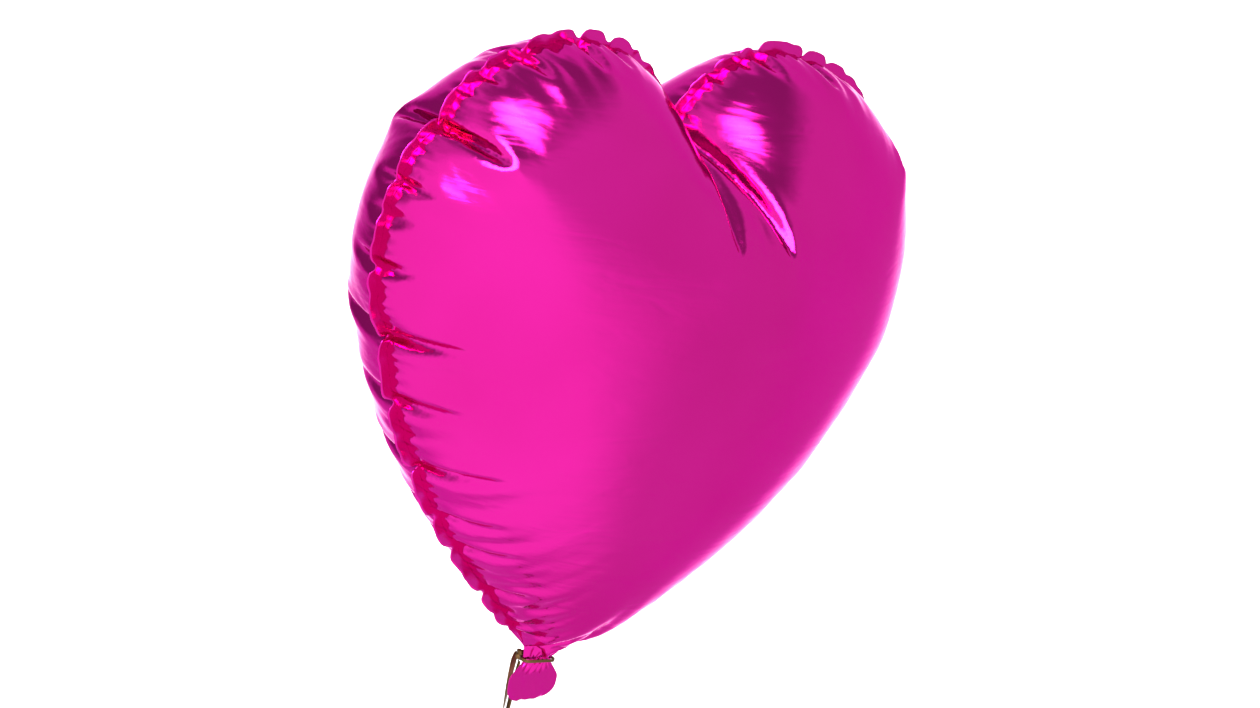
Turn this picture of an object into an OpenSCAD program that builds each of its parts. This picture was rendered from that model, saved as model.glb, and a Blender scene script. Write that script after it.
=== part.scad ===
// Heart-shaped foil balloon on a taut ribbon.
// Origin: the centre of the hand loop at the ribbon's lower end. +Z runs up the ribbon, -Y is the front.
// The balloon, its neck and its tail stand on the neck's own axis, beside the ribbon that is knotted behind it.

/* [Inflated heart] */
// Width of the inflated heart between the weld lines
heart_w = 366; // [330:1:385]
// Height of the inflated heart from its foot to the tops of the lobes
heart_h = 346; // [325:1:370]
// Thickness of the inflated heart through its middle
heart_t = 211; // [180:1:230]
// Radius of each lobe along the weld line
lobe_r = 100; // [98:1:110]
// Width of the foot, where the heart runs into the neck
foot_w = 30; // [28:1:36]

/* [Film] */
// Thickness that stands in for the film, which is really about 0.03 mm
film_t = 1.0; // [0.8:0.1:1.5]
// Width of the welded rim outside the weld line
flange_w = 6; // [4:0.5:9]
// Thickness of the welded rim, two films fused
flange_t = 1.0; // [0.8:0.1:1.6]

/* [Neck and tail] */
// Height from the middle of the tie to the foot's pivot
neck_h = 6; // [6:0.5:12]
// Width of the neck where the tie pinches it
waist_w = 22; // [18:1:24]
// Length of the tail below the tie
tail_l = 20; // [15:1:40]
// Width of the tail where it fans out
tail_w = 38; // [32:1:42]

/* [Filling valve] */
// Length of the valve's two films
valve_l = 80; // [50:5:110]
// Width of the valve's films
valve_w = 26; // [20:1:28]

/* [Ribbon] */
// Width of the ribbon
ribbon_w = 5; // [4:0.5:6]
// Thickness that stands in for the ribbon, which is really about 0.1 mm
ribbon_t = 0.6; // [0.5:0.1:1]
// Inner radius of the hand loop
loop_r = 12; // [10:1:20]
// Length of the loose end below the tie's knot
loose_l = 34; // [20:1:60]

/* [Hidden] */

$fn = 48;

// Running gap between pieces on different bodies
gap = 0.3;

// The film's colours and the ribbon's
magenta = [0.80, 0.02, 0.51];
deep_magenta = [0.66, 0.01, 0.40];
clear_film = [0.86, 0.90, 0.92];
gold = [0.80, 0.60, 0.25];

// The ribbon's route, up the row's own Z axis from the loop's knot to the tie's knot
ribbon_route = [
    [0, 0, 19], [0, 0, 30], [0, 0, 42], [0, 0, 54], [0, 0, 66], [0, 0, 78],
    [0, 0, 90], [0, 0, 102], [0, 0, 114], [0, 0, 126], [0, 0, 138], [0, 0, 149.7]
];
ribbon_top = ribbon_route[len(ribbon_route) - 1].z;

// The two knots
knot_r = 3.6;
loop_knot_z = loop_r + ribbon_t + knot_r - 0.6;
tie_z = ribbon_top + gap + knot_r;

// The tie round the neck, where the ribbon is bunched narrow, and the roll that nods in it
neck_roll_r = 3;
turns_t = 0.7;
turns_h = 2.4;
turns_in_w = waist_w / 2 + gap;
turns_in_d = neck_roll_r + gap;

// The neck's axis, in front of the ribbon and a little to its right
neck_x = 6;
neck_y = -7;

// The neck's rounded top, the foot's pivot at its middle and the foot of the heart
neck_t = 4.6;
neck_top_r = waist_w / 2 + 1;
foot_pivot_z = tie_z + neck_h;
foot_z = foot_pivot_z + 2;

// The tail's pivot, just under the neck's roll
tail_roll_r = 0.8;
tail_pivot_z = tie_z - neck_roll_r - gap - tail_roll_r;
tail_top_w = waist_w - 4;
tail_t = 1.2;

// The heart's outline: a lobe's arc and a long side arc that meets it smoothly
lobe_x = heart_w / 2 - lobe_r;
lobe_z = heart_h - lobe_r;
join_angle = -25;
foot_from_lobe = [foot_w / 2 - lobe_x, -lobe_z];
join_direction = [cos(join_angle), sin(join_angle)];
side_extra_r = (foot_from_lobe * foot_from_lobe - lobe_r * lobe_r)
    / (2 * (lobe_r - foot_from_lobe * join_direction));
side_centre = [lobe_x, lobe_z] - side_extra_r * join_direction;

// The shells' mesh: points round half the outline, rings from the middle to the rim, and the pillow's fullness
lobe_steps = 16;
side_steps = 14;
ring_count = 12;
fullness = 0.52;
foot_fullness = 0.92;
middle_z = 0.59 * heart_h;
eased_notch_r = 0.38 * heart_h;

// One half of the outline, grown outwards, from the notch round the lobe and down the side to the foot
function half_outline(grow) =
    let (
        lobe = lobe_r + grow,
        side = lobe_r + side_extra_r + grow,
        notch_angle = acos(-lobe_x / lobe),
        foot_angle = -acos((foot_w / 2 + grow - side_centre.x) / side)
    )
    concat(
        [for (i = [0 : lobe_steps - 1])
            let (a = notch_angle + (join_angle - notch_angle) * i / lobe_steps)
            [lobe_x + lobe * cos(a), lobe_z + lobe * sin(a)]],
        [for (i = [0 : side_steps])
            let (a = join_angle + (foot_angle - join_angle) * i / side_steps)
            side_centre + side * [cos(a), sin(a)]]
    );

// The whole outline, clockwise from the notch
function heart_outline(grow = 0) =
    let (right = half_outline(grow))
    concat(right, [for (i = [len(right) - 1 : -1 : 1]) [-right[i].x, right[i].y]]);

// The pillow is less full in a narrow band of directions towards the foot
function fullness_towards(p) =
    let (away = p - [0, middle_z])
    fullness + (foot_fullness - fullness) * pow(max(0, -away.y / norm(away)), 24);

// How far the film stands from the weld plane, at a share of the way from the middle to the rim point p
function bulge(share, p) = flange_t / 2 + (heart_t - flange_t) / 2 * pow(1 - share * share, fullness_towards(p));

// How much further out a ring inside the outline runs towards the notch, so that the valley fades towards the middle
function notch_ease(p, share) = 1 + max(0, eased_notch_r / norm(p - [0, middle_z]) - 1) * (1 - share * share);

// A ring of the pillow's surface, scaled about its middle, with the rim itself on the weld plane
function ring_points(outline, share, scaled) = [
    for (p = outline)
        let (reach = scaled * share * notch_ease(p, share), depth = share < 1 ? bulge(share, p) : 0)
        [reach * p.x, -scaled * depth, middle_z + reach * (p.y - middle_z)]
];

// Half a pillow's skin, from the rim on the weld plane to the middle, as rings of points
function skin_rings(outline, scaled) = [
    for (k = [ring_count + 1 : -1 : 1])
        each ring_points(outline, sin(90 * k / (ring_count + 1)), scaled)
];

// A hollow half pillow, its film as thick as film_t at the middle, standing towards -Y
module half_pillow() {
    outline = heart_outline();
    count = len(outline);
    rings = ring_count + 1;
    inner_scale = 1 - 2 * film_t / heart_t;
    inner_start = count * rings;
    outer_middle = 2 * inner_start;
    points = concat(
        skin_rings(outline, 1),
        skin_rings(outline, inner_scale),
        [[0, -heart_t / 2, middle_z], [0, -inner_scale * heart_t / 2, middle_z]]
    );
    last_ring = (rings - 1) * count;
    faces = concat(
        [for (k = [0 : rings - 2], i = [0 : count - 1])
            let (a = k * count + i, b = k * count + (i + 1) % count)
            each [[a, a + count, b], [b, a + count, b + count]]],
        [for (i = [0 : count - 1]) [last_ring + i, outer_middle, last_ring + (i + 1) % count]],
        [for (k = [0 : rings - 2], i = [0 : count - 1])
            let (a = inner_start + k * count + i, b = inner_start + k * count + (i + 1) % count)
            each [[b, a + count, a], [b + count, a + count, b]]],
        [for (i = [0 : count - 1])
            [inner_start + last_ring + (i + 1) % count, outer_middle + 1, inner_start + last_ring + i]],
        [for (i = [0 : count - 1])
            let (j = (i + 1) % count)
            each [[j, inner_start + i, i], [inner_start + j, inner_start + i, j]]]
    );
    polyhedron(points, faces, convexity = 6);
}

// Moves what stands on the heart's foot to its place above the tie
module on_foot() {
    translate([neck_x, neck_y, foot_z]) children();
}

// A cylinder along X, centred on its axis
module roll(radius, length) {
    rotate([0, 90, 0]) cylinder(r = radius, h = length, center = true);
}

// A disc that faces along Y, centred
module disc(radius, thickness) {
    rotate([90, 0, 0]) cylinder(r = radius, h = thickness, center = true);
}

// An oval with flat long sides, of a half width and a half depth
module oval(half_w, half_d) {
    square([2 * (half_w - half_d), 2 * half_d], center = true);
    for (side = [-1, 1]) translate([side * (half_w - half_d), 0]) circle(half_d);
}

// Room in the heart's foot for the rounded top of the neck
module foot_socket() {
    translate([neck_x, neck_y, foot_pivot_z]) disc(neck_top_r + gap, neck_t + 2 * gap);
}

// A flat film cut to an outline in the XZ plane, of a thickness along Y and centred on it
module flat_film(thickness) {
    rotate([90, 0, 0]) linear_extrude(thickness, center = true) children();
}

// A knot of ribbon: a lump with one turn across it
module knot_lump() {
    wrap_h = 0.45 * ribbon_w;
    sphere(0.92 * knot_r);
    rotate([25, 0, 0]) cylinder(r = knot_r, h = wrap_h, center = true);
}

// One strip of the filling valve, in front of the weld plane
module valve_film() {
    start = foot_pivot_z - foot_z + neck_top_r + 2 * gap;
    translate([-valve_w / 2, -1, start]) cube([valve_w, 0.6, valve_l]);
}

module front_panel() {
    color(magenta) difference() {
        on_foot() half_pillow();
        foot_socket();
    }
}

module back_panel() {
    color(deep_magenta) difference() {
        on_foot() mirror([0, 1, 0]) half_pillow();
        foot_socket();
    }
}

// The welded rim stops on each side of the foot, where the neck runs out of the heart
module seam_flange() {
    color(magenta) on_foot() flat_film(flange_t) difference() {
        polygon(heart_outline(flange_w));
        polygon(heart_outline());
        translate([-foot_w / 2, -2 * flange_w]) square([foot_w, 3 * flange_w]);
    }
}

module valve_front_film() {
    color(clear_film) on_foot() valve_film();
}

module valve_back_film() {
    color(clear_film) on_foot() mirror([0, 1, 0]) valve_film();
}

// The pinched film: a round-ended roll that nods in the tie, a web, and a rounded top that the heart sways on
module neck() {
    end_x = waist_w / 2 - neck_roll_r;
    top_start = neck_roll_r;
    color(deep_magenta) translate([neck_x, neck_y, tie_z]) union() {
        roll(neck_roll_r, 2 * end_x);
        for (side = [-1, 1]) translate([side * end_x, 0, 0]) sphere(neck_roll_r);
        linear_extrude(neck_h) oval(end_x + neck_t / 2, neck_t / 2);
        intersection() {
            translate([0, 0, neck_h]) disc(neck_top_r, neck_t);
            translate([-waist_w, -neck_t, top_start]) cube([2 * waist_w, 2 * neck_t, neck_h + neck_top_r]);
        }
    }
}

// The end of the filling tail, fanned out below the tie, with its upper edge rolled at the pivot
module tail_flap() {
    fan_h = 5;
    corner_r = 8;
    half = tail_w / 2;
    top = tail_top_w / 2;
    color(magenta) translate([neck_x, neck_y, tail_pivot_z]) union() {
        roll(tail_roll_r, tail_top_w);
        flat_film(tail_t) union() {
            polygon([[-top, 0], [top, 0], [half, -fan_h], [half, corner_r - tail_l],
                     [half - corner_r, -tail_l], [corner_r - half, -tail_l], [-half, corner_r - tail_l],
                     [-half, -fan_h]]);
            for (side = [-1, 1])
                translate([side * (half - corner_r), corner_r - tail_l]) circle(corner_r);
        }
    }
}

module tie_turns() {
    color(gold) translate([neck_x, neck_y, tie_z - turns_h / 2]) linear_extrude(turns_h) difference() {
        oval(turns_in_w + turns_t, turns_in_d + turns_t);
        oval(turns_in_w, turns_in_d);
    }
}

module tie_knot() {
    color(gold) translate([0, 0, tie_z]) knot_lump();
}

// The loose end hangs behind the knot
module ribbon_end() {
    end_y = knot_r + gap + ribbon_t / 2;
    color(gold) translate([0, end_y, tie_z]) union() {
        translate([-ribbon_w / 2, -ribbon_t / 2, -loose_l]) cube([ribbon_w, ribbon_t, loose_l]);
        roll(ribbon_t / 2, ribbon_w);
    }
}

// The ring of eight points round a flat ribbon's centre line
function ribbon_section(centre) =
    let (w = ribbon_w / 2, t = ribbon_t / 2, c = 0.5)
    [for (p = [[w - c, -t], [w, -t / 2], [w, t / 2], [w - c, t], [c - w, t], [-w, t / 2], [-w, -t / 2], [c - w, -t]])
        [centre.x + p.x, centre.y + p.y, centre.z]];

module ribbon() {
    sides = 8;
    last = len(ribbon_route) - 1;
    points = [for (c = ribbon_route) each ribbon_section(c)];
    faces = concat(
        [[for (i = [0 : sides - 1]) i]],
        [[for (i = [sides - 1 : -1 : 0]) last * sides + i]],
        [for (k = [0 : last - 1], i = [0 : sides - 1])
            let (a = k * sides + i, b = k * sides + (i + 1) % sides)
            each [[a, a + sides, b], [b, a + sides, b + sides]]]
    );
    color(gold) polyhedron(points, faces);
}

module loop_knot() {
    color(gold) translate([0, 0, loop_knot_z]) knot_lump();
}

module hand_loop() {
    color(gold) rotate([90, 0, 0]) rotate_extrude()
        translate([loop_r, -ribbon_w / 2]) square([ribbon_t, ribbon_w]);
}

front_panel();
back_panel();
seam_flange();
valve_front_film();
valve_back_film();
neck();
tail_flap();
tie_turns();
tie_knot();
ribbon_end();
ribbon();
loop_knot();
hand_loop();
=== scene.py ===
"""Heart-shaped foil balloon on a taut ribbon: its looks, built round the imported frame.

The two films are cut flat, welded at the rim and blown up by a small film simulation, so that the
puckers square to the weld come from the film itself. Lengths in the simulation are in millimetres.
"""

import math
import random

import bpy
import numpy as np
from mathutils import Matrix, Vector, geometry
from mathutils.bvhtree import BVHTree
from mathutils.kdtree import KDTree


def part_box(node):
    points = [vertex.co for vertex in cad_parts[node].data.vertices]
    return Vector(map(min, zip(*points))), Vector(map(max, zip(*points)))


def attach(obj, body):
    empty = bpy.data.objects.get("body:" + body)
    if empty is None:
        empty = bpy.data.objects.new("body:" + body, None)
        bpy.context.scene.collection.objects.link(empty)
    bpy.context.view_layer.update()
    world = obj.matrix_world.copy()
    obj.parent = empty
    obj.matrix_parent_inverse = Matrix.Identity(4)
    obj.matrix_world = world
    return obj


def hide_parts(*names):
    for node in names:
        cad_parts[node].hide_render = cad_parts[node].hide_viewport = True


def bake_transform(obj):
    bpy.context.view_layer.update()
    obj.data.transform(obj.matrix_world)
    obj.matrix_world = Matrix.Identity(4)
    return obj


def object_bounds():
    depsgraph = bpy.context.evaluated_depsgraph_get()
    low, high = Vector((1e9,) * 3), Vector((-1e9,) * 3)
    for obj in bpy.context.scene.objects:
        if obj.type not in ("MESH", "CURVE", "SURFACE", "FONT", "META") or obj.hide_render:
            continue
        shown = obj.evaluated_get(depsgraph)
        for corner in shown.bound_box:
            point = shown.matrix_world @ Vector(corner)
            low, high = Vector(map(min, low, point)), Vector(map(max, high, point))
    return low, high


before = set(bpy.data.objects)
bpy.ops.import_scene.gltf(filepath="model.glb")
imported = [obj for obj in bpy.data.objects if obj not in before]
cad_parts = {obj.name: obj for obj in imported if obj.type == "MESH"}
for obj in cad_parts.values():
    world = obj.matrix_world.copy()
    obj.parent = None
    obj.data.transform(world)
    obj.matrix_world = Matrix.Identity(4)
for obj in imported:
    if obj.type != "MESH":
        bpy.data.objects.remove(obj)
cad_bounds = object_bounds()

MM = 0.001


def middle(node):
    """The middle of a CAD node's box."""
    low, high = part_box(node)
    return (low + high) / 2


# Places that the frame gives
tie = middle("tie_turns")
tail_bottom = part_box("tail_flap")[0].z
foot = Vector((tie.x, tie.y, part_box("front_panel")[0].z))
heart_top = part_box("front_panel")[1].z
heart_middle = Vector((tie.x, tie.y, (foot.z + heart_top) / 2))
floor_z = cad_bounds[0].z

# ---------------------------------------------------------------------------------------------
# Camera
# ---------------------------------------------------------------------------------------------

# The default view: its angles, and its distance, width and aim in metres
VIEW_AZIMUTH = math.radians(-46)
VIEW_ELEVATION = math.radians(13.6)
VIEW_ROLL = math.radians(13.7)
VIEW_DISTANCE = 2.4
VIEW_WIDTH = 0.68
VIEW_HEIGHT_ON_HEART = 0.17
VIEW_SHIFT = (0.010, -0.001)
SENSOR_WIDTH = 36.0


def look_from(target, azimuth, elevation, distance):
    """A point at a distance from the target. Azimuth 0 is in front of it, at -Y."""
    level = math.cos(elevation)
    return target + distance * Vector(
        (math.sin(azimuth) * level, -math.cos(azimuth) * level, math.sin(elevation))
    )


def aim(obj, place, target, roll=0.0):
    """Puts an object at a place, with its -Z towards the target."""
    turn = (target - place).to_track_quat("-Z", "Y").to_matrix() @ Matrix.Rotation(roll, 3, "Z")
    obj.matrix_world = Matrix.Translation(place) @ turn.to_4x4()


def make_camera():
    """The default camera: in front of the heart on its -X side, a little above its foot, and rolled."""
    data = bpy.data.cameras.new("camera")
    data.sensor_width = SENSOR_WIDTH
    data.lens = SENSOR_WIDTH * VIEW_DISTANCE / VIEW_WIDTH
    camera = bpy.data.objects.new("camera", data)
    bpy.context.scene.collection.objects.link(camera)
    target = foot + Vector((0, 0, VIEW_HEIGHT_ON_HEART))
    aim(camera, look_from(target, VIEW_AZIMUTH, VIEW_ELEVATION, VIEW_DISTANCE), target, VIEW_ROLL)
    camera.matrix_world = camera.matrix_world @ Matrix.Translation((*VIEW_SHIFT, 0))
    bpy.context.scene.camera = camera


# ---------------------------------------------------------------------------------------------
# Meshes
# ---------------------------------------------------------------------------------------------


def add_mesh(name, points, faces, smooth=True):
    """A new mesh object from points in metres."""
    mesh = bpy.data.meshes.new(name)
    mesh.from_pydata([tuple(map(float, p)) for p in points], [], [tuple(map(int, f)) for f in faces])
    mesh.update()
    if smooth:
        mesh.shade_smooth()
    obj = bpy.data.objects.new(name, mesh)
    bpy.context.scene.collection.objects.link(obj)
    return obj


def apply_modifiers(obj):
    """Makes an object's modifiers part of its mesh."""
    done = obj.evaluated_get(bpy.context.evaluated_depsgraph_get())
    mesh = bpy.data.meshes.new_from_object(done)
    obj.modifiers.clear()
    obj.data = mesh
    return obj


def thicken(obj, thickness):
    """Gives a film a thickness, half on each side."""
    solid = obj.modifiers.new("thickness", "SOLIDIFY")
    solid.thickness = thickness
    solid.offset = 0
    return apply_modifiers(obj)


def subdivide(obj):
    """Rounds a mesh with one level of subdivision."""
    smooth = obj.modifiers.new("smooth", "SUBSURF")
    smooth.levels = 1
    smooth.render_levels = 1
    return apply_modifiers(obj)


def eased(t):
    """A smooth step from 0 to 1."""
    t = np.clip(t, 0, 1)
    return t * t * (3 - 2 * t)


# ---------------------------------------------------------------------------------------------
# The flat cut of the two films, with its foot at z = 0 and the neck below it
# ---------------------------------------------------------------------------------------------

# Each half is two arcs, in mm: a lobe round (LOBE_X, LOBE_Z) as far as the angle JOIN, then a wide side arc
LOBE_R = 150.0
LOBE_X = 75.0
LOBE_Z = 250.0
SIDE_R = 350.0
JOIN = math.radians(-18)
NECK_HALF = 19.0
NECK_LENGTH = 9.0
# The mesh inside the outline: two shares of its step, then heights in mm. Its step is halved near the neck
JITTER = 0.18
EDGE_CLEARANCE = 0.72
FINE_BELOW = 22.0
LATTICE_TOP = 450
LATTICE_SEED = 3
MERGE_DISTANCE = 1e-4


def heart_side(step):
    """Points along the right half of the weld line, from the notch to the foot."""
    notch = math.acos(-LOBE_X / LOBE_R)
    lobe_count = int(LOBE_R * (notch - JOIN) / step)
    points = []
    for i in range(lobe_count):
        a = notch + (JOIN - notch) * i / lobe_count
        points.append((LOBE_X + LOBE_R * math.cos(a), LOBE_Z + LOBE_R * math.sin(a)))
    centre_x = LOBE_X - (SIDE_R - LOBE_R) * math.cos(JOIN)
    centre_z = LOBE_Z - (SIDE_R - LOBE_R) * math.sin(JOIN)
    foot_angle = -math.acos((NECK_HALF - centre_x) / SIDE_R)
    side_count = int(SIDE_R * (JOIN - foot_angle) / step)
    for i in range(side_count + 1):
        a = JOIN + (foot_angle - JOIN) * i / side_count
        points.append((centre_x + SIDE_R * math.cos(a), centre_z + SIDE_R * math.sin(a)))
    return [(x, z - points[-1][1]) for x, z in points]


def weld_outline(step):
    """The closed outline of one film, from the notch down the right side and up the left."""
    right = heart_side(step)
    down = int(NECK_LENGTH / step) + 1
    neck = [(NECK_HALF, -NECK_LENGTH * i / down) for i in range(1, down + 1)]
    across = max(2, int(2 * NECK_HALF / step))
    base = [(NECK_HALF - 2 * NECK_HALF * i / across, -NECK_LENGTH) for i in range(1, across)]
    left = [(-x, z) for x, z in reversed(right[1:] + neck)]
    return right + neck + base + left


def inside(points, outline):
    """Which points lie inside a closed outline."""
    result = np.zeros(len(points), bool)
    for (x1, z1), (x2, z2) in zip(outline, np.roll(outline, -1, axis=0)):
        if z1 == z2:
            continue
        crossing = (z1 > points[:, 1]) != (z2 > points[:, 1])
        result ^= crossing & (points[:, 0] < (x2 - x1) * (points[:, 1] - z1) / (z2 - z1) + x1)
    return result


def lattice(step, low, high, rng):
    """A jittered triangular lattice between two heights."""
    points = []
    z = low
    row = 0
    while z < high:
        x = -LOBE_X - LOBE_R - (step / 2 if row % 2 else 0)
        while x < LOBE_X + LOBE_R:
            jitter_x = rng.uniform(-JITTER, JITTER) * step
            jitter_z = rng.uniform(-JITTER, JITTER) * step
            points.append((x + jitter_x, z + jitter_z))
            x += step
        z += step * math.sqrt(3) / 2
        row += 1
    return points


def flat_film(step):
    """One film: its points, the outline first, its triangles, and how many points the outline has."""
    rng = random.Random(LATTICE_SEED)
    loop = weld_outline(step)
    outline = np.array(loop)
    fine = step / 2
    neck_points = lattice(fine, -NECK_LENGTH, FINE_BELOW, rng)
    body_points = lattice(step, FINE_BELOW + step / 2, LATTICE_TOP, rng)
    points = np.array(neck_points + body_points)
    steps = np.where(points[:, 1] < FINE_BELOW, fine, step)
    keep = inside(points, outline)
    points, steps = points[keep], steps[keep]
    gap = np.hypot(*(points[:, None] - outline[None]).transpose(2, 0, 1)).min(axis=1)
    points = points[gap > EDGE_CLEARANCE * steps]
    corners = [Vector(p) for p in loop] + [Vector(p) for p in points]
    face_of_loop = [list(range(len(loop)))]
    found = geometry.delaunay_2d_cdt(corners, [], face_of_loop, 1, MERGE_DISTANCE)
    return np.array([tuple(p) for p in found[0]]), np.array([list(t) for t in found[2]]), len(loop)


# What a point or a face belongs to
OUTLINE, FRONT, BACK = range(3)


def flat_balloon(step):
    """The welded pair of films: flat points, what each is part of, the faces, and the outline's count."""
    film, front_faces, count = flat_film(step)
    inner = len(film) - count
    back_of = np.concatenate([np.arange(count), count + inner + np.arange(inner)])
    back_faces = back_of[front_faces[:, [0, 2, 1]]]
    flat = np.concatenate([film, film[count:]])
    flat = np.stack([flat[:, 0], np.zeros(len(flat)), flat[:, 1]], axis=1)
    part = np.repeat([OUTLINE, FRONT, BACK], [count, inner, inner])
    return flat, part, np.concatenate([front_faces, back_faces]), count


# ---------------------------------------------------------------------------------------------
# Blowing the films up
# ---------------------------------------------------------------------------------------------

# The film's forces, in one arbitrary unit: the pull per mm of stretch along an edge, the push per mm of
# shortening along an edge and across a fold, and the gas pressure per square mm
TENSION = 1.0
SQUEEZE = 0.01
BENDING = 0.01
PRESSURE = 1e-4
POINT_MASS = 6.6
# The share of the speed that a step in time takes away, at the start and at the end
DAMPING = (0.003, 0.02)
# How many steps in time one reckoning of the pressure serves
PRESSURE_EVERY = 4
# Folds with a shorter span than this share of the mean edge are left out
SHORTEST_FOLD = 0.25
# The bulge that the film starts with, in mm: how deep, and how far inside the weld line it is full
START_DEPTH = 10
START_RISE = 60
# Each level is a step in mm and a number of steps in time
QUICK_LEVELS = [(10.0, 1500), (5.0, 400)]
FULL_LEVELS = QUICK_LEVELS + [(3.2, 500)]
# Where the tie pins the film, in mm
PINNED_BELOW = -5.5
PINCH_HALF_WIDTH = 10.9
PINCH_HALF_DEPTH = 2.5
PLEAT_DEPTH = 0.5
PLEATS = 7


def pinch(flat, side):
    """Where the tie holds the neck: the flat film's width runs round an oval, in shallow pleats."""
    across = flat[:, 0] / NECK_HALF
    depth = PINCH_HALF_DEPTH * np.sqrt(np.clip(1 - across**4, 0, 1))
    pleat = PLEAT_DEPTH * np.sin(PLEATS * math.pi * across + side) * (1 - across**2)
    return np.stack([PINCH_HALF_WIDTH * across, side * (depth + pleat), flat[:, 2]], axis=1)


def springs(faces):
    """The edges of a mesh, and the opposite corners of each pair of faces that share an edge."""
    ends = np.sort(np.concatenate([faces[:, [0, 1]], faces[:, [1, 2]], faces[:, [2, 0]]]), axis=1)
    opposite = np.concatenate([faces[:, 2], faces[:, 0], faces[:, 1]])
    key = ends[:, 0].astype(np.int64) * (faces.max() + 1) + ends[:, 1]
    order = np.argsort(key, kind="stable")
    key, ends, opposite = key[order], ends[order], opposite[order]
    first = np.flatnonzero(np.r_[True, key[1:] != key[:-1]])
    shared = first[np.diff(np.r_[first, len(key)]) == 2]
    return ends[first], np.stack([opposite[shared], opposite[shared + 1]], axis=1)


def relax(points, flat, faces, pinned, steps):
    """Moves the points until the gas pressure and the film's pull are in balance."""
    count = len(points)
    edges, hinges = springs(faces)
    rest = np.linalg.norm(flat[edges[:, 0]] - flat[edges[:, 1]], axis=1)
    hinge_rest = np.linalg.norm(flat[hinges[:, 0]] - flat[hinges[:, 1]], axis=1)
    kept = hinge_rest > SHORTEST_FOLD * rest.mean()
    hinges, hinge_rest = hinges[kept], hinge_rest[kept]
    start = np.concatenate([edges[:, 0], hinges[:, 0]])
    end = np.concatenate([edges[:, 1], hinges[:, 1]])
    length = np.concatenate([rest, hinge_rest])
    pull = np.concatenate([np.full(len(edges), TENSION), np.zeros(len(hinges))])
    push = np.concatenate([np.full(len(edges), SQUEEZE), np.full(len(hinges), BENDING)])
    corners = faces.T.ravel()
    gas = np.zeros_like(points)
    speed = np.zeros_like(points)
    for k in range(steps):
        span = points[end] - points[start]
        now = np.sqrt(np.einsum("ij,ij->i", span, span)) + 1e-9
        stretch = now - length
        force = (np.where(stretch > 0, pull, push) * stretch / now)[:, None] * span
        if k % PRESSURE_EVERY == 0:
            a, b, c = (points[faces[:, i]] for i in range(3))
            normal = np.cross(b - a, c - a) * (PRESSURE / 6)
            for j in range(3):
                gas[:, j] = np.bincount(corners, np.tile(normal[:, j], 3), count)
        total = gas.copy()
        for j in range(3):
            total[:, j] += np.bincount(start, force[:, j], count) - np.bincount(end, force[:, j], count)
        damping = DAMPING[0] + (DAMPING[1] - DAMPING[0]) * (k / steps) ** 2
        speed = (speed + total / POINT_MASS) * (1 - damping)
        speed[pinned] = 0
        points = points + speed
    return points


def carry(coarse, flat, part):
    """Places a finer mesh's points on the coarse mesh's blown-up film."""
    coarse_flat, coarse_points, coarse_faces = coarse[:3]
    points = np.zeros_like(flat)
    for group, faces in zip((FRONT, BACK), np.split(coarse_faces, 2)):
        triangles = [tuple(map(int, f)) for f in faces]
        tree = BVHTree.FromPolygons([tuple(p) for p in coarse_flat], triangles)
        members = (part == group) | ((part == OUTLINE) & (group == FRONT))
        for i in np.flatnonzero(members):
            place, _, index, _ = tree.find_nearest(Vector(flat[i]))
            face = faces[index]
            corners = np.stack([coarse_flat[face, 0], coarse_flat[face, 2], np.ones(3)])
            weights = np.linalg.solve(corners, [place.x, place.z, 1])
            points[i] = weights @ coarse_points[face]
    return points


def blow_up(levels):
    """Blows the balloon up on finer and finer meshes: flat points, points, faces and the outline's count."""
    coarse = None
    for step, steps in levels:
        flat, part, faces, count = flat_balloon(step)
        side = np.where(part == FRONT, -1.0, np.where(part == BACK, 1.0, 0.0))
        if coarse is None:
            rim = flat[:count]
            gap_x = flat[:, None, 0] - rim[None, :, 0]
            gap_z = flat[:, None, 2] - rim[None, :, 2]
            inset = np.hypot(gap_x, gap_z).min(axis=1)
            points = flat.copy()
            points[:, 1] = side * START_DEPTH * np.sqrt(np.clip(inset / START_RISE, 0, 1))
        else:
            points = carry(coarse, flat, part)
        pinned = flat[:, 2] < PINNED_BELOW
        points[pinned] = pinch(flat[pinned], side[pinned])
        coarse = (flat, relax(points, flat, faces, pinned, steps), faces, count)
    return coarse


# ---------------------------------------------------------------------------------------------
# Film pieces
# ---------------------------------------------------------------------------------------------

LOWER_NECK_TOP = tie.z + 4.5 * MM
UPPER_NECK_TOP = tie.z + 13 * MM

# The weld's fine crimps. Each drift is an angle in radians and a length
CRIMP_PITCH = 7.6 * MM
CRIMP_DRIFTS = ((1.7, 23 * MM), (0.9, 7.1 * MM))
CRIMP_DEPTH = 0.32 * MM
CRIMP_REACH = 3.2 * MM
CRIMP_END = 5 * CRIMP_REACH


def drifting_wave(arc, pitch, drifts):
    """A wave from -1 to 1 along a line, whose phase drifts so that it is never quite regular."""
    phase = 2 * math.pi * arc / pitch
    for turn, length in drifts:
        phase = phase + turn * np.sin(arc / length)
    return np.sin(phase)


def crimp_wave(arc):
    """The weld's fine crimps, by distance along the weld line."""
    return drifting_wave(arc, CRIMP_PITCH, CRIMP_DRIFTS)


def arc_along(rim):
    """Distance along a closed line of points, from its first point."""
    steps = np.linalg.norm(rim - np.roll(rim, 1, axis=0), axis=1)
    steps[0] = 0
    return np.cumsum(steps)


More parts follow.
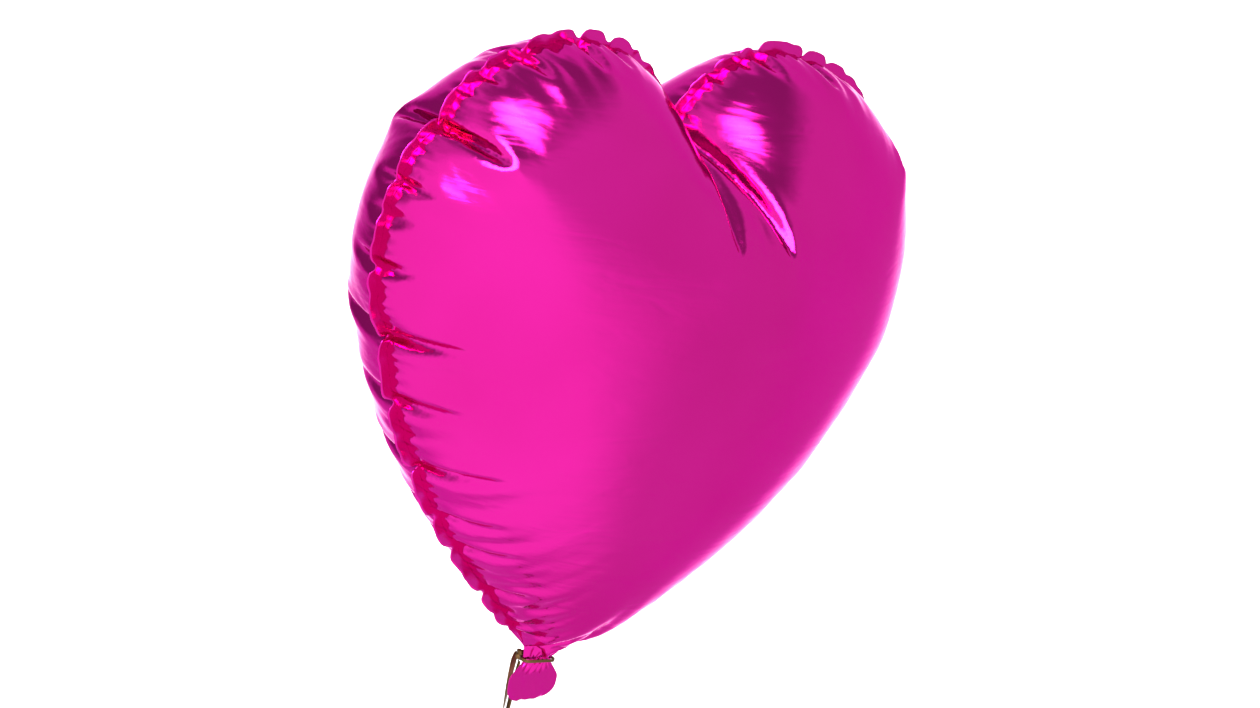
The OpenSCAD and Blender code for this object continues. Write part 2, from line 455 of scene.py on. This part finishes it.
def smooth_film(points, flat, faces, rim_count):
    """The two films as one subdivided mesh, sharp at the weld: points, flat points, quads and their sides."""
    obj = add_mesh("film", points, faces)
    mesh = obj.data
    side = mesh.attributes.new("side", "INT", "FACE")
    side.data.foreach_set("value", np.repeat([FRONT, BACK], len(faces) // 2).astype(np.int32))
    cut = mesh.attributes.new("cut", "FLOAT_VECTOR", "POINT")
    cut.data.foreach_set("vector", (flat * MM).ravel().astype(np.float32))
    crease = mesh.attributes.new("crease_edge", "FLOAT", "EDGE")
    ends = np.zeros(2 * len(mesh.edges), np.int32)
    mesh.edges.foreach_get("vertices", ends)
    ends = ends.reshape(-1, 2)
    step = np.abs(ends[:, 0] - ends[:, 1])
    on_rim = (ends.max(axis=1) < rim_count) & ((step == 1) | (step == rim_count - 1))
    crease.data.foreach_set("value", on_rim.astype(np.float32))
    subdivide(obj)
    mesh = obj.data
    co = np.zeros(3 * len(mesh.vertices))
    mesh.vertices.foreach_get("co", co)
    cut = np.zeros(3 * len(mesh.vertices))
    mesh.attributes["cut"].data.foreach_get("vector", cut)
    quads = np.zeros(4 * len(mesh.polygons), np.int32)
    mesh.loops.foreach_get("vertex_index", quads)
    sides = np.zeros(len(mesh.polygons), np.int32)
    mesh.attributes["side"].data.foreach_get("value", sides)
    bpy.data.objects.remove(obj)
    return co.reshape(-1, 3), cut.reshape(-1, 3), quads.reshape(-1, 4), sides


def crimp(points, cut, normals, rim):
    """Adds the weld's fine crimps to the film beside it. They die away from the weld line."""
    tree = KDTree(len(rim))
    for i, place in enumerate(rim):
        tree.insert(Vector(place), i)
    tree.balance()
    arc = arc_along(rim)
    for i in range(len(points)):
        place, index, distance = tree.find(Vector(cut[i]))
        if distance < CRIMP_END and place.z > CRIMP_REACH:
            along = rim[(index + 1) % len(rim)] - rim[index - 1]
            past = (cut[i] - rim[index]) @ along / np.linalg.norm(along)
            share = distance / CRIMP_REACH
            depth = CRIMP_DEPTH * share * math.exp(1 - share)
            points[i] += normals[i] * depth * crimp_wave(arc[index] + past)
    return points


def side_normals(points, quads):
    """Smooth normals at the points, from some of the faces only."""
    a, b, c, d = (points[quads[:, i]] for i in range(4))
    flat_normals = np.cross(c - a, d - b)
    total = np.zeros_like(points)
    for j in range(3):
        total[:, j] = np.bincount(quads.T.ravel(), np.tile(flat_normals[:, j], 4), len(points))
    return total / np.maximum(np.linalg.norm(total, axis=1), 1e-12)[:, None]


def cut_piece(name, points, quads, normals, chosen):
    """A piece of a larger film mesh that keeps the whole film's smooth normals."""
    used, index = np.unique(quads[chosen], return_inverse=True)
    obj = add_mesh(name, points[used], index.reshape(-1, 4))
    obj.data.normals_split_custom_set(normals[chosen].reshape(-1, 3).tolist())
    return obj


def make_film_pieces(balloon):
    """Front film, back film and the two stretches of neck, cut from one film."""
    flat, points, faces, rim_count = balloon
    co, cut, quads, sides = smooth_film(points * MM + np.array(foot), flat, faces, rim_count)
    co = crimp(co, cut, side_normals(co, quads), flat[:rim_count] * MM)
    normals = np.zeros((len(quads), 4, 3))
    for side in (FRONT, BACK):
        mine = sides == side
        normals[mine] = side_normals(co, quads[mine])[quads[mine]]
    height = co[quads][:, :, 2].mean(axis=1)
    body = height > UPPER_NECK_TOP
    upper = ~body & (height > LOWER_NECK_TOP)
    pieces = {
        "front_film": body & (sides == FRONT),
        "back_film": body & (sides == BACK),
        "neck_film_upper": upper,
        "neck_film_lower": ~body & ~upper,
    }
    return {name: cut_piece(name, co, quads, normals, chosen) for name, chosen in pieces.items()}


# The flange starts at its root inside the weld line, and tapers away towards the neck
FLANGE_WIDTH = 6 * MM
FLANGE_ROOT = 0.8 * MM
FLANGE_ROWS = 6
FLANGE_TAPER = 14 * MM
LEAST_TAPER = 0.02
FLANGE_THICKNESS = 0.25 * MM
FLANGE_RUFFLE = 0.6 * MM
FLANGE_CRIMP = 0.5 * CRIMP_DEPTH
RUFFLE_PITCH = 19 * MM
RUFFLE_DRIFTS = ((1.3, 37 * MM),)
CALMING_PASSES = 12
NOTCH_CLEARANCE = 0.1 * MM


def spread_round(values, passes):
    """Evens out values round a closed line."""
    for _ in range(passes):
        values = (np.roll(values, 1, axis=0) + 2 * values + np.roll(values, -1, axis=0)) / 4
    return values


def doubled(values):
    """Adds the middle of each pair of neighbours to a closed line of points or directions."""
    return np.stack([values, (values + np.roll(values, -1, axis=0)) / 2], axis=1).reshape(-1, 3)


def make_flange(balloon):
    """The fused rim outside the weld line: it follows the puckered weld and has the weld's crimps."""
    flat, points, _, rim_count = balloon
    rim = points[:rim_count] * MM + np.array(foot)
    calm = spread_round(rim, CALMING_PASSES)
    tangent = np.roll(calm, -1, axis=0) - np.roll(calm, 1, axis=0)
    outward = np.stack([-tangent[:, 2], np.zeros(rim_count), tangent[:, 0]], axis=1)
    outward = doubled(outward / np.linalg.norm(outward, axis=1)[:, None])
    # The weld line, rounded as subdivision rounds the film's own edge
    weld = doubled(rim)
    weld[::2] = (np.roll(rim, 1, axis=0) + 6 * rim + np.roll(rim, -1, axis=0)) / 8
    along = np.roll(weld, -1, axis=0) - np.roll(weld, 1, axis=0)
    across = np.cross(along, outward)
    across /= np.linalg.norm(across, axis=1)[:, None]
    cut = doubled(flat[:rim_count] * MM)
    arc = arc_along(cut)
    taper = eased(cut[:, 2] / FLANGE_TAPER)
    ruffle = FLANGE_RUFFLE * drifting_wave(arc, RUFFLE_PITCH, RUFFLE_DRIFTS)
    ruffle += FLANGE_CRIMP * crimp_wave(arc)
    side = np.sign(weld[:, 0] - foot.x)
    near_notch = (weld[:, 2] > heart_middle.z) & (side != 0)
    rows = []
    for k in range(FLANGE_ROWS):
        share = k / (FLANGE_ROWS - 1)
        reach = -FLANGE_ROOT + (FLANGE_WIDTH + FLANGE_ROOT) * share
        row = weld + outward * (reach * taper)[:, None] + across * (ruffle * share * taper)[:, None]
        # The two lobes' flanges keep clear of each other in the notch
        parted = np.maximum((row[:, 0] - foot.x) * side, NOTCH_CLEARANCE) * side + foot.x
        row[:, 0] = np.where(near_notch, parted, row[:, 0])
        rows.append(row)
    kept = np.flatnonzero((taper > LEAST_TAPER) & (np.roll(taper, -1) > LEAST_TAPER))
    count = len(weld)
    quads = []
    for k in range(FLANGE_ROWS - 1):
        low, high = k * count, (k + 1) * count
        for i in kept:
            after = (i + 1) % count
            quads.append((low + i, low + after, high + after, high + i))
    used, index = np.unique(quads, return_inverse=True)
    obj = add_mesh("weld_flange", np.concatenate(rows)[used], index.reshape(-1, 4))
    return thicken(obj, FLANGE_THICKNESS)


# The tail: its half width at the tie and when fanned out, and the radius of its lower corners
TAIL_COLUMNS = 48
TAIL_ROWS = 30
TAIL_HALF_TOP = 10.4 * MM
TAIL_HALF_FULL = 19 * MM
TAIL_CORNER = 9 * MM
# By what share of its height it is fanned out, and what share of its half width the weld takes on each side
TAIL_FANNED_BY = 0.5
TAIL_WELD = 0.22
TAIL_PLEAT = 1.5 * MM
TAIL_CURL = 2.2 * MM
# How far each film stands from the tail's middle layer: at the tie, when fanned out, and at the weld
TAIL_PUFF_TOP = 2.1 * MM
TAIL_PUFF_FULL = 0.5 * MM
TAIL_FILM_GAP = 0.06 * MM


def make_tail():
    """The end of the filling tail: two films welded down both sides, pinched at the top and fanned out."""
    columns, rows = TAIL_COLUMNS, TAIL_ROWS
    height = tie.z - tail_bottom
    points = []
    for layer in (-1, 1):
        for r in range(rows + 1):
            v = r / rows
            z = tie.z - v * height
            fan = float(eased(v / TAIL_FANNED_BY))
            half = TAIL_HALF_TOP + (TAIL_HALF_FULL - TAIL_HALF_TOP) * fan
            over = max(0.0, TAIL_CORNER - (z - tail_bottom)) / TAIL_CORNER
            half -= TAIL_CORNER * (1 - math.sqrt(max(0.0, 1 - over * over)))
            for c in range(columns + 1):
                u = 2 * c / columns - 1
                pleat = TAIL_PLEAT * (1 - fan) * math.sin(6.5 * math.pi * u + 0.7) * (1 - u * u)
                wave = fan * (0.9 * math.sin(2.4 * u + 3.1 * v) + 0.35 * math.sin(9 * u - 6 * v)) * MM
                curl = TAIL_CURL * fan * u * v
                inner = abs(u) / (1 - TAIL_WELD)
                puff = math.cos(math.pi / 2 * inner) if inner <= 1 else 0.0
                depth = (TAIL_PUFF_TOP * (1 - fan) + TAIL_PUFF_FULL * fan) * puff + TAIL_FILM_GAP
                points.append((tie.x + u * half, tie.y + pleat + wave + curl + layer * depth, z))
    faces = []
    stride = columns + 1
    layer_size = stride * (rows + 1)
    for r in range(rows):
        for c in range(columns):
            a = r * stride + c
            faces.append((a, a + stride, a + stride + 1, a + 1))
            b = a + layer_size
            faces.append((b, b + 1, b + stride + 1, b + stride))
    rim = [(r * stride, (r + 1) * stride) for r in range(rows)]
    rim += [(rows * stride + c, rows * stride + c + 1) for c in range(columns)]
    rim += [((r + 1) * stride + columns, r * stride + columns) for r in range(rows - 1, -1, -1)]
    faces += [(b, a, a + layer_size, b + layer_size) for a, b in rim]
    return add_mesh("tail_film", points, faces)


# ---------------------------------------------------------------------------------------------
# Ribbon pieces
# ---------------------------------------------------------------------------------------------

RIBBON_WIDTH = 5 * MM
RIBBON_THICKNESS = 0.6 * MM
# The ribbon's section is an oval with this many sides, and the power squares it off
SECTION_SIDES = 12
SECTION_POWER = 0.45


def sweep(name, path, widths, thicknesses, across, closed=False):
    """A flat or bunched ribbon along a path. across gives the direction of its width at each point."""
    count = len(path)
    sides = SECTION_SIDES
    points = []
    for i in range(count):
        before = path[(i - 1) % count] if closed or i > 0 else path[i]
        after = path[(i + 1) % count] if closed or i < count - 1 else path[i]
        along = (after - before).normalized()
        wide = (across[i] - along * across[i].dot(along)).normalized()
        thin = along.cross(wide)
        for k in range(sides):
            a = 2 * math.pi * (k + 0.5) / sides
            flat_cos = math.copysign(abs(math.cos(a)) ** SECTION_POWER, math.cos(a))
            flat_sin = math.copysign(abs(math.sin(a)) ** SECTION_POWER, math.sin(a))
            offset = wide * (widths[i] / 2 * flat_cos) + thin * (thicknesses[i] / 2 * flat_sin)
            points.append(path[i] + offset)
    faces = []
    for i in range(count if closed else count - 1):
        j = (i + 1) % count
        for k in range(sides):
            m = (k + 1) % sides
            faces.append((i * sides + k, i * sides + m, j * sides + m, j * sides + k))
    if not closed:
        faces.append(tuple(range(sides - 1, -1, -1)))
        faces.append(tuple((count - 1) * sides + k for k in range(sides)))
    return add_mesh(name, points, faces)


def along_line(points, count):
    """Evenly spread points along a broken line."""
    lengths = [0.0]
    for a, b in zip(points, points[1:]):
        lengths.append(lengths[-1] + (b - a).length)
    spread = []
    for i in range(count):
        want = lengths[-1] * i / (count - 1)
        k = max(0, min(len(points) - 2, sum(1 for s in lengths[1:-1] if s <= want)))
        share = (want - lengths[k]) / (lengths[k + 1] - lengths[k])
        spread.append(points[k].lerp(points[k + 1], share))
    return spread


# The ribbon's route as the CAD model has it
ROUTE_HEIGHTS = (19, 30, 42, 54, 66, 78, 90, 102, 114, 126, 138, 149.7)
RIBBON_ROUTE = [Vector((0, 0, z * MM)) for z in ROUTE_HEIGHTS]
RIBBON_POINTS = 90
# Which way the ribbon's width points at its lower end, and how far it turns on the way up
RIBBON_START = math.radians(20)
RIBBON_TURN = math.radians(55)
# How narrow the ribbon gets in its knots, and over what share of its length
RIBBON_NARROWED = 0.55
RIBBON_NARROWING = 0.09


def narrowed(least, share):
    """The ribbon's width: a least share of it at share 0, and all of it from share 1."""
    return RIBBON_WIDTH * (least + (1 - least) * float(eased(share)))


def make_ribbon():
    """The taut ribbon, with the slow twist that curling ribbon keeps, narrowing a little into its knots."""
    path = along_line(RIBBON_ROUTE, RIBBON_POINTS)
    shares = [i / (len(path) - 1) for i in range(len(path))]
    angles = [RIBBON_START + RIBBON_TURN * float(eased(s)) for s in shares]
    across = [Vector((math.cos(a), math.sin(a), 0)) for a in angles]
    widths = [narrowed(RIBBON_NARROWED, min(s, 1 - s) / RIBBON_NARROWING) for s in shares]
    ribbon = sweep("ribbon_strip", path, widths, [RIBBON_THICKNESS] * len(path), across)
    return ribbon, path


KNOT_RADIUS = 3.6 * MM
KNOT_POINTS = 96
# The knot's tilt, in radians
KNOT_TILT = 1.2


def make_knot(name, centre, turn):
    """An overhand knot of bunched ribbon: a trefoil, with its parts in shares of the knot's radius."""
    radius = KNOT_RADIUS
    count = KNOT_POINTS
    path = []
    across = []
    for i in range(count):
        t = 2 * math.pi * i / count
        ring = 1 + 0.42 * math.cos(3 * t)
        spot = Vector((ring * math.cos(2 * t), ring * math.sin(2 * t), 0.55 * math.sin(3 * t)))
        path.append(spot * (0.56 * radius))
        across.append(Vector((0.2 * math.sin(5 * t), 0.2 * math.cos(4 * t), 1)))
    widths = [0.62 * radius * (1 + 0.12 * math.sin(10 * math.pi * i / count)) for i in range(count)]
    knot = sweep(name, path, widths, [0.3 * radius] * count, across, closed=True)
    turned = Matrix.Rotation(turn, 4, "Z") @ Matrix.Rotation(KNOT_TILT, 4, "X")
    knot.data.transform(Matrix.Translation(centre) @ turned)
    return knot


WINDING_TURNS = 2
WINDING_PITCH = 0.8 * MM
WINDING_WIDTH = 0.9 * MM
WINDING_THICKNESS = 0.45 * MM
WINDING_POINTS_PER_TURN = 80
WINDING_POINTS_PER_END = 24


def make_winding():
    """Two turns of bunched ribbon round the pinched neck, on a path with straight sides and round ends."""
    low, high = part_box("tie_turns")
    end_r = (high.y - low.y - WINDING_THICKNESS) / 2
    straight = high.x - low.x - WINDING_THICKNESS - 2 * end_r
    ring = []
    for i in range(WINDING_POINTS_PER_END):
        a = math.pi / 2 - math.pi * i / (WINDING_POINTS_PER_END - 1)
        ring.append(Vector((straight / 2 + end_r * math.cos(a), end_r * math.sin(a), 0)))
    ring += [Vector((-p.x, -p.y, 0)) for p in ring]
    count = WINDING_POINTS_PER_TURN * WINDING_TURNS
    path = along_line(ring * WINDING_TURNS + ring[:1], count)
    for i, place in enumerate(path):
        place += tie + Vector((0, 0, WINDING_PITCH * WINDING_TURNS * (i / (count - 1) - 0.5)))
    across = [Vector((0.12 * math.sin(i * 0.4), 0.1 * math.cos(i * 0.31), 1)) for i in range(count)]
    return sweep("tie_winding", path, [WINDING_WIDTH] * count, [WINDING_THICKNESS] * count, across)


LOOSE_END_POINTS = 40
LOOSE_END_INSET = 0.3 * MM


def make_loose_end():
    """The loose end, which hangs behind the knot in a slight curl and is cut at a slant."""
    low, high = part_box("ribbon_end")
    top = Vector((0, (low.y + high.y) / 2, high.z - LOOSE_END_INSET))
    length = high.z - low.z - 2 * LOOSE_END_INSET
    count = LOOSE_END_POINTS
    path = []
    across = []
    widths = []
    for i in range(count):
        s = i / (count - 1)
        path.append(top + Vector((1.2 * MM * math.sin(2.4 * s), 1.1 * MM * math.sin(3.2 * s), -length * s)))
        a = math.radians(10 + 55 * s)
        across.append(Vector((math.cos(a), 0.4 * math.sin(a), 0.0)))
        widths.append(RIBBON_WIDTH * min(0.5 + 4 * s, 1.0) * (1.0 if s < 0.96 else 0.82))
    return sweep("loose_ribbon_end", path, widths, [RIBBON_THICKNESS] * count, across)


LOOP_SLANT = math.radians(24)
LOOP_POINTS = 96
# How narrow the loop gets at its knot, and over how many of its points
LOOP_NARROWED = 0.6
LOOP_NARROWING = 10


def make_hand_loop():
    """The loop at the ribbon's lower end: one slanted turn of flat ribbon, like a shallow cone."""
    low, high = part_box("hand_loop")
    radius = (high.x - low.x) / 2 + RIBBON_WIDTH / 2 * math.sin(LOOP_SLANT) - RIBBON_THICKNESS / 2
    count = LOOP_POINTS
    path = []
    across = []
    for i in range(count):
        a = 2 * math.pi * i / count
        path.append(Vector((radius * math.sin(a), 0, radius * math.cos(a))))
        outward = path[-1].normalized()
        across.append(Vector((0, math.cos(LOOP_SLANT), 0)) + outward * math.sin(LOOP_SLANT))
    widths = [narrowed(LOOP_NARROWED, min(i, count - i) / LOOP_NARROWING) for i in range(count)]
    return sweep("hand_loop_ribbon", path, widths, [RIBBON_THICKNESS] * count, across, closed=True)


# ---------------------------------------------------------------------------------------------
# Materials
# ---------------------------------------------------------------------------------------------

# The part of a noise's range that most of its values lie in
NOISE_LOW = 0.3
NOISE_HIGH = 0.7


class Nodes:
    """A short way to build a node material."""

    def __init__(self, name):
        self.material = bpy.data.materials.new(name)
        self.material.use_nodes = True
        self.tree = self.material.node_tree
        self.shader = self.tree.nodes["Principled BSDF"]
        self.coords = self.tree.nodes.new("ShaderNodeTexCoord").outputs["Object"]

    def link(self, source, target):
        """Joins an output to an input."""
        self.tree.links.new(source, target)

    def noise(self, scale, detail, stretch=(1, 1, 1), turn=(0, 0, 0), distortion=0.0):
        """A noise fixed to the object. Its scale is per metre."""
        mapping = self.tree.nodes.new("ShaderNodeMapping")
        mapping.inputs["Scale"].default_value = stretch
        mapping.inputs["Rotation"].default_value = turn
        texture = self.tree.nodes.new("ShaderNodeTexNoise")
        texture.inputs["Scale"].default_value = scale
        texture.inputs["Detail"].default_value = detail
        texture.inputs["Distortion"].default_value = distortion
        self.link(self.coords, mapping.inputs["Vector"])
        self.link(mapping.outputs["Vector"], texture.inputs["Vector"])
        return texture.outputs["Fac"]

    def spread(self, source, low, high):
        """Maps a noise's middle range to a range of values."""
        node = self.tree.nodes.new("ShaderNodeMapRange")
        node.inputs["From Min"].default_value = NOISE_LOW
        node.inputs["From Max"].default_value = NOISE_HIGH
        node.inputs["To Min"].default_value = low
        node.inputs["To Max"].default_value = high
        self.link(source, node.inputs["Value"])
        return node.outputs["Result"]

    def mix(self, factor, first, second):
        """A colour between two others."""
        node = self.tree.nodes.new("ShaderNodeMix")
        node.data_type = "RGBA"
        node.inputs["A"].default_value = (*first, 1)
        node.inputs["B"].default_value = (*second, 1)
        self.link(factor, node.inputs["Factor"])
        return node.outputs["Result"]

    def bump(self, height, distance, after=None):
        """A normal with ripples up to a distance high, on top of another normal if there is one."""
        node = self.tree.nodes.new("ShaderNodeBump")
        node.inputs["Strength"].default_value = 1.0
        node.inputs["Distance"].default_value = distance
        self.link(height, node.inputs["Height"])
        if after is not None:
            self.link(after, node.inputs["Normal"])
        return node.outputs["Normal"]

    def finish(self, colour, roughness, normal=None, constants=()):
        """Joins the looks to the shader, sets what is the same all over, and gives the material."""
        for name, source in (("Base Color", colour), ("Roughness", roughness), ("Normal", normal)):
            if source is not None:
                self.link(source, self.shader.inputs[name])
        for name, value in constants:
            self.shader.inputs[name].default_value = value
        return self.material


MAGENTA = (0.68, 0.010, 0.31)
DEEP_MAGENTA = (0.60, 0.007, 0.25)
FOIL_CONSTANTS = [
    ("Metallic", 1.0),
    ("Coat Weight", 0.12),
    ("Coat Roughness", 0.1),
    ("Specular Tint", (0.95, 0.40, 0.80, 1)),
]


def foil_material(name, roughness, ripples):
    """Metallised film: a coloured mirror, uneven in tone. Its ripples are a grain, dents and creases."""
    nodes = Nodes(name)
    tone = nodes.spread(nodes.noise(7, 3), 0, 1)
    colour = nodes.mix(tone, DEEP_MAGENTA, MAGENTA)
    gloss = nodes.spread(nodes.noise(26, 4), *roughness)
    grain = nodes.noise(330, 2, distortion=0.3)
    dents = nodes.noise(24, 3, stretch=(1, 1, 3.2), turn=(0.2, 0.6, 0.3), distortion=0.6)
    creases = nodes.noise(60, 2, stretch=(0.3, 0.3, 3.4), turn=(0.35, -0.55, 0), distortion=0.3)
    normal = None
    for height, distance in zip((grain, dents, creases), ripples):
        normal = nodes.bump(height, distance, after=normal)
    return nodes.finish(colour, gloss, normal, FOIL_CONSTANTS)


def ribbon_material():
    """Metallised curling ribbon, with the fine ribs that run along it."""
    nodes = Nodes("gold_ribbon")
    tone = nodes.spread(nodes.noise(60, 3), 0, 1)
    colour = nodes.mix(tone, (0.10, 0.05, 0.02), (0.26, 0.15, 0.06))
    gloss = nodes.spread(nodes.noise(200, 2), 0.42, 0.56)
    ribs = nodes.noise(1400, 1, stretch=(1, 1, 0.04))
    return nodes.finish(colour, gloss, nodes.bump(ribs, 0.05 * MM), [("Metallic", 1.0)])


def clear_material():
    """The valve's clear film."""
    nodes = Nodes("clear_film")
    tone = nodes.spread(nodes.noise(40, 2), 0, 1)
    colour = nodes.mix(tone, (0.78, 0.80, 0.83), (0.88, 0.90, 0.92))
    gloss = nodes.spread(nodes.noise(90, 2), 0.08, 0.2)
    normal = nodes.bump(nodes.noise(120, 2), 0.08 * MM)
    return nodes.finish(colour, gloss, normal, [("Alpha", 0.35), ("IOR", 1.5)])


def floor_material():
    """The studio's pale floor."""
    nodes = Nodes("pale_floor")
    tone = nodes.spread(nodes.noise(0.6, 2), 0, 1)
    colour = nodes.mix(tone, (0.86, 0.86, 0.87), (0.89, 0.89, 0.90))
    gloss = nodes.spread(nodes.noise(3, 2), 0.6, 0.7)
    return nodes.finish(colour, gloss)


# ---------------------------------------------------------------------------------------------
# Stage and light
# ---------------------------------------------------------------------------------------------

FLOOR_HALF = 14
SUN_SPREAD = math.radians(60)
SUN_STRENGTH = 2.2
ROOM_FILL = 0.90
# Soft zones of the studio, as the film sees them: azimuth, elevation, inner and outer radius in degrees,
# and how much each adds to the fill
ROOM_ZONES = (
    (-62, -22, 58, 86, 0.50),
    (-51, 50, 10, 30, 15.0),
    (-150, 10, 18, 45, -0.60),
    (131, -16, 10, 40, 0.95),
    (0, 88, 18, 42, -0.55),
)


def make_room():
    """White surroundings for the camera. The film sees brighter and darker zones, as in a studio."""
    world = bpy.data.worlds.new("studio")
    bpy.context.scene.world = world
    world.use_nodes = True
    tree = world.node_tree
    background = tree.nodes["Background"]
    background.inputs["Color"].default_value = (1, 1, 1, 1)
    direction = tree.nodes.new("ShaderNodeTexCoord").outputs["Generated"]
    total = None
    for azimuth, elevation, inner, outer, gain in ROOM_ZONES:
        dot = tree.nodes.new("ShaderNodeVectorMath")
        dot.operation = "DOT_PRODUCT"
        tree.links.new(direction, dot.inputs[0])
        dot.inputs[1].default_value = look_from(Vector(), math.radians(azimuth), math.radians(elevation), 1)
        zone = tree.nodes.new("ShaderNodeMapRange")
        zone.interpolation_type = "SMOOTHSTEP"
        zone.inputs["From Min"].default_value = math.cos(math.radians(outer))
        zone.inputs["From Max"].default_value = math.cos(math.radians(inner))
        zone.inputs["To Min"].default_value = 0
        zone.inputs["To Max"].default_value = gain
        tree.links.new(dot.outputs["Value"], zone.inputs["Value"])
        add = tree.nodes.new("ShaderNodeMath")
        add.operation = "ADD"
        add.inputs[0].default_value = ROOM_FILL
        if total is not None:
            tree.links.new(total, add.inputs[0])
        tree.links.new(zone.outputs["Result"], add.inputs[1])
        total = add.outputs["Value"]
    seen = tree.nodes.new("ShaderNodeLightPath").outputs["Is Camera Ray"]
    pick = tree.nodes.new("ShaderNodeMix")
    pick.data_type = "FLOAT"
    pick.inputs["B"].default_value = 1.0
    tree.links.new(seen, pick.inputs["Factor"])
    tree.links.new(total, pick.inputs["A"])
    tree.links.new(pick.outputs["Result"], background.inputs["Strength"])


def make_stage():
    """The floor, the room and a wide soft sun overhead."""
    half = FLOOR_HALF
    corners = [(x * half, y * half, floor_z) for x, y in ((-1, -1), (1, -1), (1, 1), (-1, 1))]
    floor = add_mesh("floor", corners, [(0, 1, 2, 3)], smooth=False)
    floor.data.materials.append(floor_material())
    floor.visible_glossy = False
    make_room()
    overhead = bpy.data.lights.new("overhead", "SUN")
    overhead.angle = SUN_SPREAD
    overhead.energy = SUN_STRENGTH
    light = bpy.data.objects.new("overhead", overhead)
    light.location = (0, 0, 3)
    light.visible_glossy = False
    bpy.context.scene.collection.objects.link(light)


# ---------------------------------------------------------------------------------------------
# Putting it together
# ---------------------------------------------------------------------------------------------


def wear(obj, material):
    """Gives a piece its material."""
    obj.data.materials.clear()
    obj.data.materials.append(material)


make_camera()
bpy.context.scene.view_settings.view_transform = "Standard"

ribbon, ribbon_path = make_ribbon()
tie_knot = make_knot("tie_knot_ribbon", middle("tie_knot"), 0.4)
loop_knot = make_knot("loop_knot_ribbon", middle("loop_knot"), 1.3)
hand_loop = make_hand_loop()
loose_end = make_loose_end()
winding = make_winding()

gold = ribbon_material()
for piece, body, node in (
    (ribbon, "ribbon", "ribbon"),
    (loop_knot, "ribbon", "loop_knot"),
    (hand_loop, "ribbon", "hand_loop"),
    (tie_knot, "tie", "tie_knot"),
    (winding, "tie", "tie_turns"),
    (loose_end, "loose_end", "ribbon_end"),
):
    wear(piece, gold)
    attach(piece, body)
    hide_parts(node)

balloon = blow_up(FULL_LEVELS)
films = make_film_pieces(balloon)
flange = make_flange(balloon)
tail = make_tail()

foil = foil_material("magenta_foil", (0.10, 0.17), (0.012 * MM, 0.5 * MM, 0.16 * MM))
fused = foil_material("fused_foil", (0.16, 0.26), (0.02 * MM, 0.5 * MM, 0.1 * MM))
wear(films["front_film"], foil)
wear(films["back_film"], foil)
wear(flange, fused)
for name in ("neck_film_upper", "neck_film_lower"):
    wear(films[name], foil)
wear(tail, foil)

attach(films["front_film"], "envelope")
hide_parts("front_panel")
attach(films["back_film"], "envelope")
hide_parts("back_panel")
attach(flange, "envelope")
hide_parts("seam_flange")


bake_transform(films["neck_film_lower"])
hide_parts("neck")
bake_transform(films["neck_film_upper"])
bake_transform(tail)
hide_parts("tail_flap")

clear = clear_material()
for node in ("valve_front_film", "valve_back_film"):
    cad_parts[node].data.materials.clear()
    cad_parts[node].data.materials.append(clear)

make_stage()
